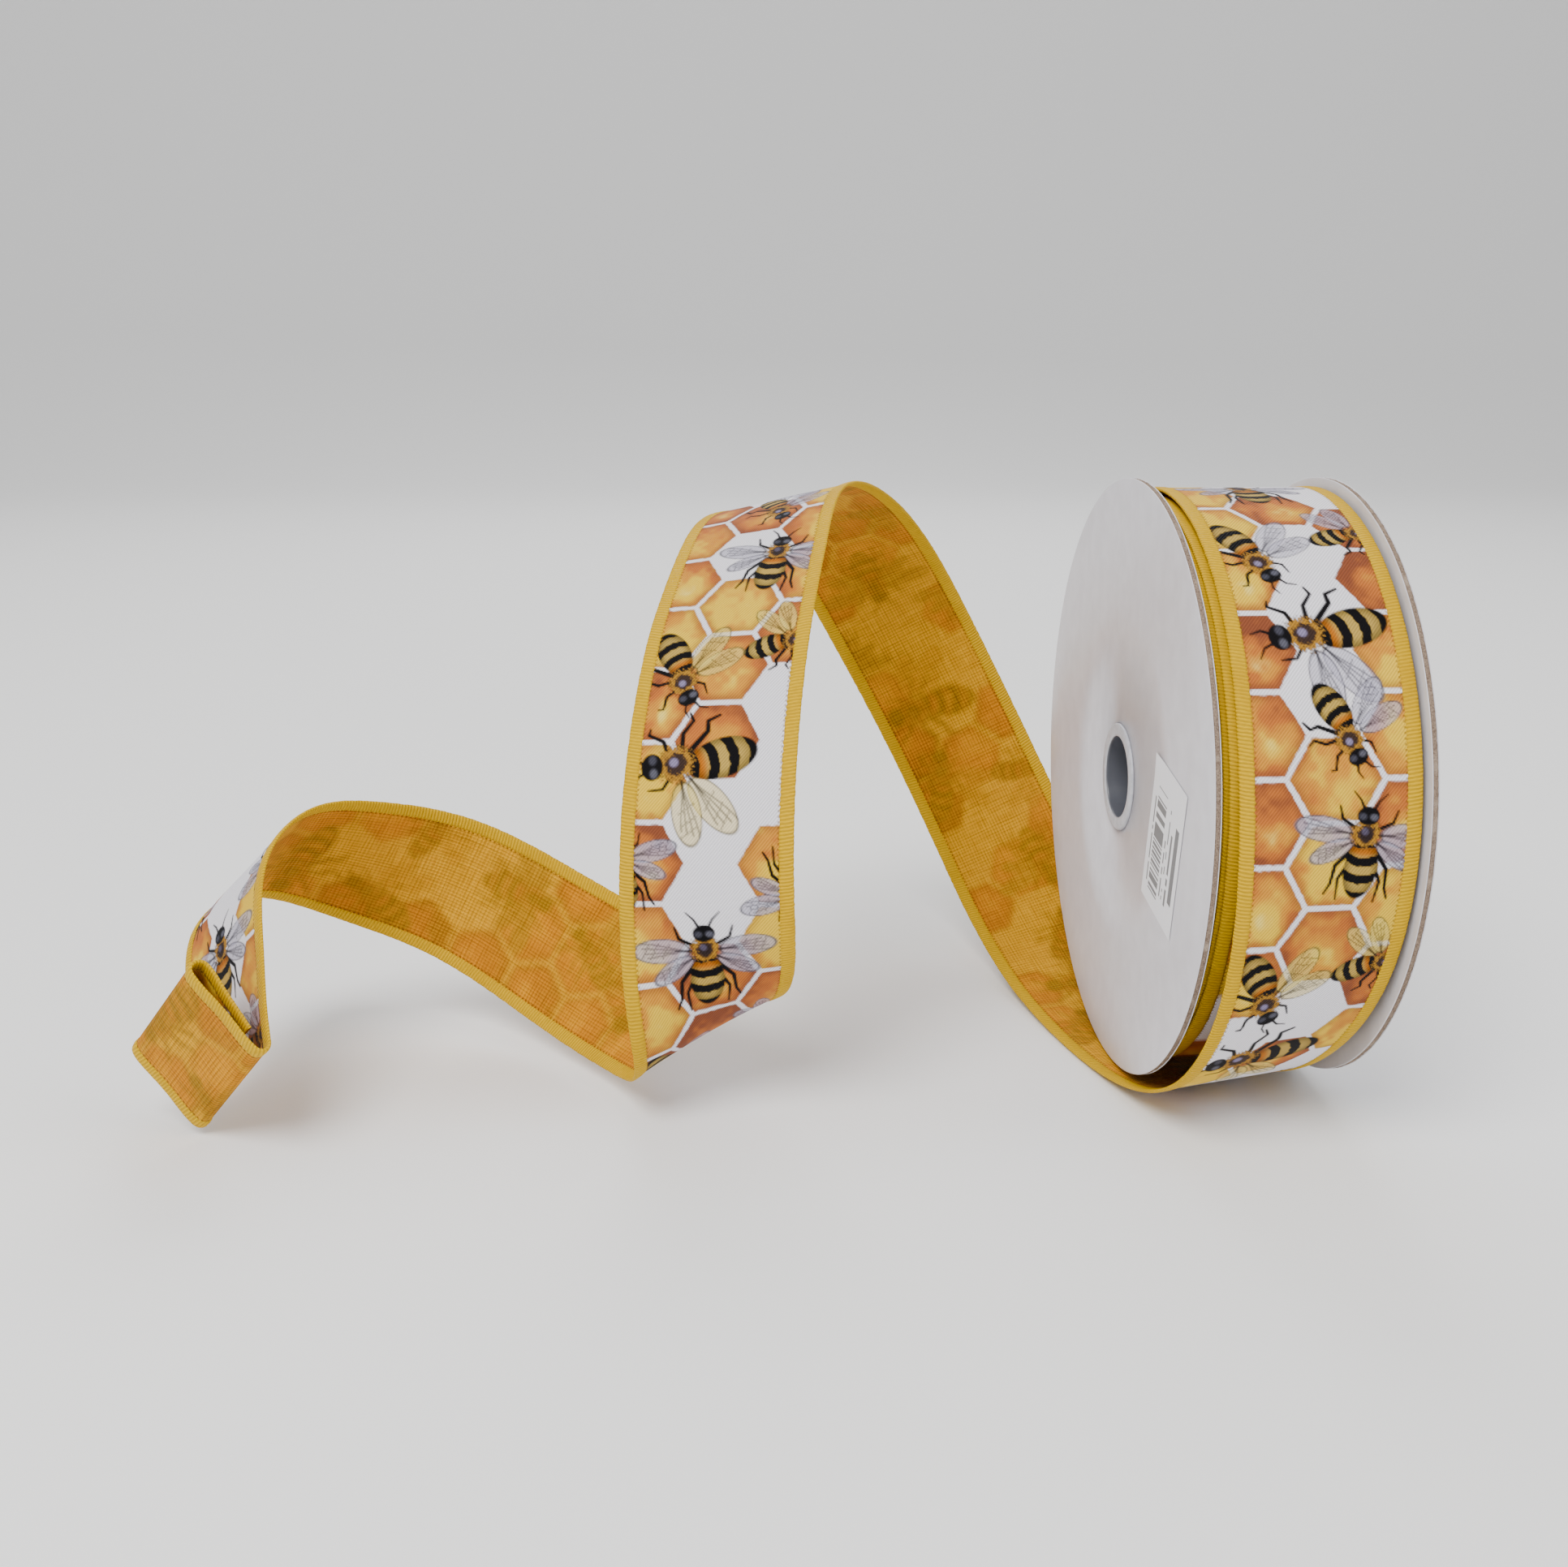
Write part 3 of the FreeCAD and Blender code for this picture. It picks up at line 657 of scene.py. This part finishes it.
def plastic_material():
    n = Nodes("hub_plastic", Roughness=0.34, Specular_IOR_Level=0.5)
    scuff = n.space_noise(1.5, 4.0)
    colour = n.mix(n.ramp(scuff, 0.4, 0.7), linear(178, 180, 188), linear(198, 199, 206))
    # Painted shade: the bore's inner wall, within 9.6 mm of the axis, is coloured dark grey.
    where = n.tree.nodes.new("ShaderNodeTexCoord")
    split = n.tree.nodes.new("ShaderNodeSeparateXYZ")
    n.tree.links.new(where.outputs["Object"], split.inputs[0])
    squares = n.math("MULTIPLY_ADD", split.outputs[1], split.outputs[1],
                     n.math("MULTIPLY", split.outputs[2], split.outputs[2]))
    from_axis = n.math("SQRT", squares)
    colour = n.mix(n.ramp(from_axis, 9.75 * MM, 9.6 * MM), colour, linear(84, 86, 94))
    return n.finish(colour, scuff, 0.02, 0.3, n.math("MULTIPLY_ADD", scuff, 0.2, 0.24))


def label_material():
    n = Nodes("label_paper", Roughness=0.34, Specular_IOR_Level=0.5)
    return n.finish(n.attribute("print"), n.noise(2.0, 2.0, 3.0), 0.02, 0.3)


def wire_material():
    n = Nodes("edge_wire", Roughness=0.35, Metallic=1.0)
    return n.finish(linear(196, 176, 132), n.noise(0.4, 0.4, 2.0), 0.02, 0.3)


def plain_material(name, colour, roughness, height_mm):
    n = Nodes(name, Roughness=roughness)
    fibre = n.space_noise(0.6, 3.0)
    shade = n.mix(n.ramp(fibre, 0.3, 0.7), colour * 0.88, colour)
    return n.finish(shade, fibre, height_mm, 0.6)


PRINT = print_material()
BACKING = backing_material()
THREAD = thread_material()
PAPER = paper_material()
BOARD = board_material()
PLASTIC = plastic_material()
LABEL = label_material()
WIRE = wire_material()
CORE = plain_material("core_board", linear(176, 152, 122), 0.9, 0.1)
TAPE = plain_material("clear_tape", linear(226, 220, 200), 0.2, 0.01)


# ---------------------------------------------------------------- ribbon pieces
LONGEST_LOOSE = 2000
SELVEDGE = 0.85


def ripple(route, s, t):
    """How far the cloth stands off its ideal surface: nothing on the spool, slight on the tail."""
    if route.length > LONGEST_LOOSE:
        return np.zeros(s.shape)
    free = smooth(380, 470, s) * smooth(route.length - 55, route.length - 95, s)
    waves = 0.16 * np.sin(s / 13.0 + 1.3 * np.sin(s / 41.0))
    return free * (waves + 0.34 * (soft_noise(s / 17, t / 11, 21) - 0.5))


def soaked(colour):
    """The print as it shows through the cloth: spread by one step of the grid each way."""
    for axis in (0, 1):
        ahead = np.concatenate([np.take(colour, range(1, colour.shape[axis]), axis),
                                np.take(colour, [-1], axis)], axis)
        behind = np.concatenate([np.take(colour, [0], axis),
                                 np.take(colour, range(colour.shape[axis] - 1), axis)], axis)
        colour = (ahead + colour + behind) / 3
    return colour


def ply(name, route, height, rows_step, columns, body, material, slot_name, node, strength):
    """One fabric ply of a ribbon, carried along its route. strength is how much of the print shows."""
    s = np.linspace(0, route.length, int(route.length / rows_step) + 1)
    t = np.linspace(SELVEDGE, WIDTH - SELVEDGE, columns)
    middle, across, off_face = route.frames(s)
    grid_s, grid_t = np.meshgrid(s, t, indexing="ij")
    lift = height + ripple(route, grid_s, grid_t)
    lift[0] -= height
    lift[-1] -= height
    points = (middle[:, None] + across[:, None] * (grid_t - WIDTH / 2)[..., None]
              + off_face[:, None] * lift[..., None])
    colour = painted(grid_s, grid_t)
    if strength < 1:
        colour = 1 - strength * (1 - soaked(colour))
    piece = grid_mesh(name, points, np.stack([grid_s, grid_t], axis=-1), colour=colour)
    dress(piece, material, body, slot_name, node)
    return piece


# Half of an edge's outline: the distance in from the ribbon's side and the height above its middle.
SLEEVE_HALF = [(3.2, 0.24), (2.7, 0.36), (1.9, 0.43), (1.1, 0.45), (0.5, 0.41), (0.14, 0.28)]
SLEEVE_SHAPE = SLEEVE_HALF + [(0.0, 0.0)] + [(side, -height) for side, height in reversed(SLEEVE_HALF)]
STITCH_JITTER = 0.07
STITCH_SWELL = 0.06


def edge_sleeve(name, route, far, row_step, body, node):
    """An overlocked edge: a soft tube round the ribbon's side, with each stitch a little different."""
    s = np.linspace(0, route.length, int(route.length / row_step) + 1)
    middle, across, off_face = route.frames(s)
    shape = np.array(SLEEVE_SHAPE)
    jitter = rng.uniform(-STITCH_JITTER, STITCH_JITTER, (len(s), len(shape)))
    side = np.broadcast_to(shape[:, 0], (len(s), len(shape))) + 0.09 + jitter
    side = np.where(shape[:, 0] > 3, side + 0.12 * np.sin(s[:, None] * 5.4), side)
    grid_t = WIDTH - side if far else side
    grid_s = np.broadcast_to(s[:, None], grid_t.shape)
    lift = shape[None, :, 1] * (1 + STITCH_SWELL * jitter / STITCH_JITTER) + ripple(route, grid_s, grid_t)
    points = (middle[:, None] + across[:, None] * (grid_t - WIDTH / 2)[..., None]
              + off_face[:, None] * lift[..., None])
    around = np.broadcast_to(np.arange(len(shape)) * 0.55, grid_t.shape)
    if far:
        points, grid_s, around = points[:, ::-1], grid_s[:, ::-1], around[:, ::-1]
    piece = grid_mesh(name, points, np.stack([grid_s, around], axis=-1), looped=True)
    return dress(piece, THREAD, body, "edge_thread", node)


def edge_wire(name, route, far, row_step, body, node):
    """The fine wire inside an edge."""
    s = np.linspace(0.2, route.length - 0.2, int(route.length / row_step) + 1)
    middle, across, off_face = route.frames(s)
    angle = np.arange(6) * math.pi / 3
    side = 0.62 + 0.16 * np.cos(angle)
    grid_t = np.broadcast_to(WIDTH - side if far else side, (len(s), 6))
    grid_s = np.broadcast_to(s[:, None], grid_t.shape)
    lift = 0.16 * np.sin(angle)[None] + ripple(route, grid_s, grid_t)
    points = (middle[:, None] + across[:, None] * (grid_t - WIDTH / 2)[..., None]
              + off_face[:, None] * lift[..., None])
    piece = grid_mesh(name, points, np.stack([grid_s, grid_t], axis=-1), looped=True)
    return dress(piece, WIRE, body, "edge_wire", node)


def ribbon(prefix, route, body, fine, coarse, columns, row_step):
    """All six pieces of one stretch of ribbon."""
    ply(prefix + "_face", route, PLY, fine, columns, body, PRINT, "print_fabric", prefix + "_face_fabric", 1.0)
    ply(prefix + "_backing", route, -PLY, coarse, max(24, columns // 2), body, BACKING, "backing_fabric",
        prefix + "_backing_fabric", 0.6)
    for side, far in (("near", False), ("far", True)):
        edge = "%s_%s_edge" % (prefix, side)
        edge_sleeve(edge, route, far, row_step, body, edge + "_thread")
        edge_wire(edge + "_core", route, far, row_step * 2, body, edge + "_wire")


LOOSE = loose_route()
PACK = pack_route()
ribbon("loose", LOOSE, "loose_ribbon", 0.3, 0.6, 123, 0.62)
ribbon("wound", PACK, "spool", 2.4, 2.4, 26, 2.4)


# ---------------------------------------------------------------- turned pieces of the spool
def turned(name, profile, material, slot_name, nodes, segments=240, rough_rim=0.0, flip=None):
    """A piece turned about the bore from a closed profile of (x, radius)."""
    angle = np.linspace(0, 2 * math.pi, segments, endpoint=False)
    shape = np.array(profile, float)
    radius = np.broadcast_to(shape[:, 1], (segments, len(shape))).copy()
    x = np.broadcast_to(shape[:, 0], radius.shape).copy()
    if rough_rim:
        ragged = rough_rim * (0.5 * rng.random((segments, 1)) + 0.5 * rng.random((segments, len(shape))))
        radius = np.where(radius > FLANGE_RADIUS - 0.6, radius - ragged, radius)
    if flip is not None:
        x = flip - x
    points = np.stack([x, radius * np.cos(angle)[:, None], radius * np.sin(angle)[:, None]], axis=-1)
    points = np.concatenate([points, points[:1]], axis=0)
    along = np.concatenate([angle, [2 * math.pi]]) * FLANGE_RADIUS
    around = np.concatenate([[0], np.cumsum(np.linalg.norm(np.diff(shape, axis=0), axis=1))])
    uv = np.stack(np.meshgrid(along, around, indexing="ij"), axis=-1)
    if flip is None:
        points, uv = points[:, ::-1], uv[:, ::-1]
    piece = grid_mesh(name, points, uv, looped=True)
    unwelded = piece.data
    weld = piece.modifiers.new("weld", "WELD")
    weld.merge_threshold = 1e-6
    bpy.context.view_layer.update()
    solid = bpy.data.meshes.new_from_object(piece.evaluated_get(bpy.context.evaluated_depsgraph_get()))
    piece.modifiers.clear()
    piece.data = solid
    piece.data.name = name
    bpy.data.meshes.remove(unwelded)
    return dress(piece, material, "spool", slot_name, *nodes)


HOLE = 10.95
for side, flip in (("near", None), ("far", SPOOL_WIDTH)):
    outer = [(0.0, HOLE), (0.0, 40), (0.0, 60), (0.0, 69.5), (0.04, 69.72), (0.13, 69.78),
             (0.2, 69.7), (0.2, HOLE)]
    board = [(0.2, HOLE), (0.2, 60), (0.2, 69.45), (0.24, 69.7), (0.4, 69.8), (0.6, 69.84), (0.75, 69.82),
             (0.95, 69.84), (1.1, 69.8), (1.26, 69.7), (1.3, 69.45), (1.3, 60), (1.3, HOLE)]
    inner = [(1.3, HOLE), (1.3, 69.7), (1.37, 69.78), (1.46, 69.72), (1.5, 69.5), (1.5, 60),
             (1.5, 40), (1.5, HOLE)]
    turned(side + "_flange_face", outer, PAPER, "coated_paper", [side + "_flange_outer_facing"],
           360, 0.04, flip)
    turned(side + "_flange_core", board, BOARD, "grey_board", [side + "_flange_board"], 900, 0.35, flip)
    turned(side + "_flange_back", inner, PAPER, "coated_paper", [side + "_flange_inner_facing"],
           360, 0.04, flip)

collar = [(0.0, 12.7), (-0.3, 12.7), (-0.5, 12.62), (-0.66, 12.4), (-0.7, 12.1), (-0.7, 10.4), (-0.68, 10.0),
          (-0.58, 9.72), (-0.4, 9.57), (-0.1, 9.525), (12, 9.525)]
near_hub = collar + [(27, 9.525), (27, 10.2), (19, 10.2), (19, 10.9), (0.0, 10.9)]
far_hub = collar + [(19, 9.525), (19, 10.25), (27, 10.25), (27, 10.9), (0.0, 10.9)]
turned("near_hub_moulding", near_hub, PLASTIC, "hub_plastic", ["near_hub"], 160)
turned("far_hub_moulding", far_hub, PLASTIC, "hub_plastic", ["far_hub"], 160, 0.0, SPOOL_WIDTH)


# ---------------------------------------------------------------- label with generic print
def label_print(a, b):
    """White paper with a bar pattern and plain rules. a runs along the label and b across it."""
    colour = np.broadcast_to(linear(238, 238, 242), a.shape + (3,)).copy()
    ink = np.zeros(a.shape)
    bar = lattice(np.floor(a / 0.42), np.zeros(a.shape), 31)
    ink = np.maximum(ink, (bar > 0.46) * (b > 12.0) * (b < 18.6) * (a > 3.0) * (a < 28.5))
    for start, stop, low, high in ((7, 25, 2.2, 4.6), (5, 22, 6.0, 7.2), (5, 27, 8.6, 9.2), (5, 19, 10.1, 10.7),
                                   (4, 26, 19.6, 20.3)):
        dash = lattice(np.floor(a / 0.9), np.full(a.shape, low), 37) > 0.16
        ink = np.maximum(ink, (a > start) * (a < stop) * (b > low) * (b < high) * dash)
    return mixed(colour, linear(40, 40, 46), ink * 0.9)


LABEL_LENGTH = 34.5
LABEL_HEIGHT = 22.8
LABEL_Y = -37.6
LABEL_Z = -5.7
LABEL_LEAN = math.radians(10.4)


def label_piece():
    """The label on the near flange, with its top corner lifting a little."""
    long, wide = LABEL_LENGTH, LABEL_HEIGHT
    a, b = np.meshgrid(np.linspace(0, long, 260), np.linspace(0, wide, 172), indexing="ij")
    lift = 0.02 + 0.25 * smooth(7, 0, np.hypot(a - long, b - wide)) + 0.04 * soft_noise(a / 8, b / 8, 41)
    u, v = b - wide / 2, a - long / 2
    y = LABEL_Y + u * math.cos(LABEL_LEAN) - v * math.sin(LABEL_LEAN)
    z = LABEL_Z + u * math.sin(LABEL_LEAN) + v * math.cos(LABEL_LEAN)
    top = np.stack([-0.1 - lift, y, z], axis=-1)
    uv = np.stack([a, b], axis=-1)
    piece = grid_mesh("label", top[:, ::-1], uv[:, ::-1], colour=label_print(a, b)[:, ::-1])
    return dress(piece, LABEL, "spool", "label_paper", "label_sticker")


label_piece()

# ---------------------------------------------------------------- CAD pieces that show as they are
for node, material in (("winding_core", CORE), ("starter_tape", TAPE)):
    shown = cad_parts[node]
    shown.data.materials.clear()
    shown.data.materials.append(material)


# ---------------------------------------------------------------- floor, light and camera
def floor():
    """A pale floor that bends up into a backdrop far behind."""
    low = start_bounds[0][2] / MM - 0.05
    bend = np.linspace(0, math.pi / 2, 16)
    back = np.concatenate([[-3000, -1000], 1400 + 900 * np.sin(bend), [2300]])
    rise = np.concatenate([[0, 0], 900 * (1 - np.cos(bend)), [4000]]) + low
    a, b = np.meshgrid(np.linspace(-4000, 4000, 3), np.arange(len(back)), indexing="ij")
    points = np.stack([a, back[b], rise[b]], axis=-1)
    piece = grid_mesh("floor", points, np.stack([a, back[b]], axis=-1))
    n = Nodes("floor_white", Roughness=0.8, Specular_IOR_Level=0.1)
    piece.data.materials.append(n.finish(linear(248, 248, 248)))


def soft_light(name, place, aim, size_m, power, colour):
    lamp = bpy.data.lights.new(name, "AREA")
    lamp.shape = "DISK"
    lamp.size = size_m
    lamp.energy = power
    lamp.color = colour
    holder = bpy.data.objects.new(name, lamp)
    holder.location = place
    holder.rotation_euler = (Vector(aim) - Vector(place)).to_track_quat("-Z", "Y").to_euler()
    bpy.context.scene.collection.objects.link(holder)


floor()
soft_light("key", (-0.55, -0.75, 1.10), (-0.06, 0, 0), 0.8, 20.0, (1.0, 0.99, 0.97))
soft_light("fill", (0.95, -0.45, 0.65), (0, 0, 0), 0.9, 5.0, (0.97, 0.98, 1.0))
soft_light("back", (0.0, 1.10, 0.95), (-0.05, 0, 0), 1.0, 8.0, (1.0, 1.0, 1.0))
world = bpy.data.worlds.new("studio")
world.use_nodes = True
world.node_tree.nodes["Background"].inputs[0].default_value = (1, 1, 1, 1)
world.node_tree.nodes["Background"].inputs[1].default_value = 0.62
bpy.context.scene.world = world

camera_data = bpy.data.cameras.new("camera")
camera_data.sensor_width = 36.0
camera_data.lens = 40.4
camera_data.clip_start = 0.01
camera = bpy.data.objects.new("camera", camera_data)
right = Vector((0.99651, -0.08336, 0.00411))
up = Vector((0.01762, 0.25819, 0.96593))
back = right.cross(up)
camera.matrix_world = Matrix((
    (right.x, up.x, back.x, -0.1132),
    (right.y, up.y, back.y, -0.3952),
    (right.z, up.z, back.z, 0.1060),
    (0, 0, 0, 1),
))
bpy.context.scene.collection.objects.link(camera)
bpy.context.scene.camera = camera
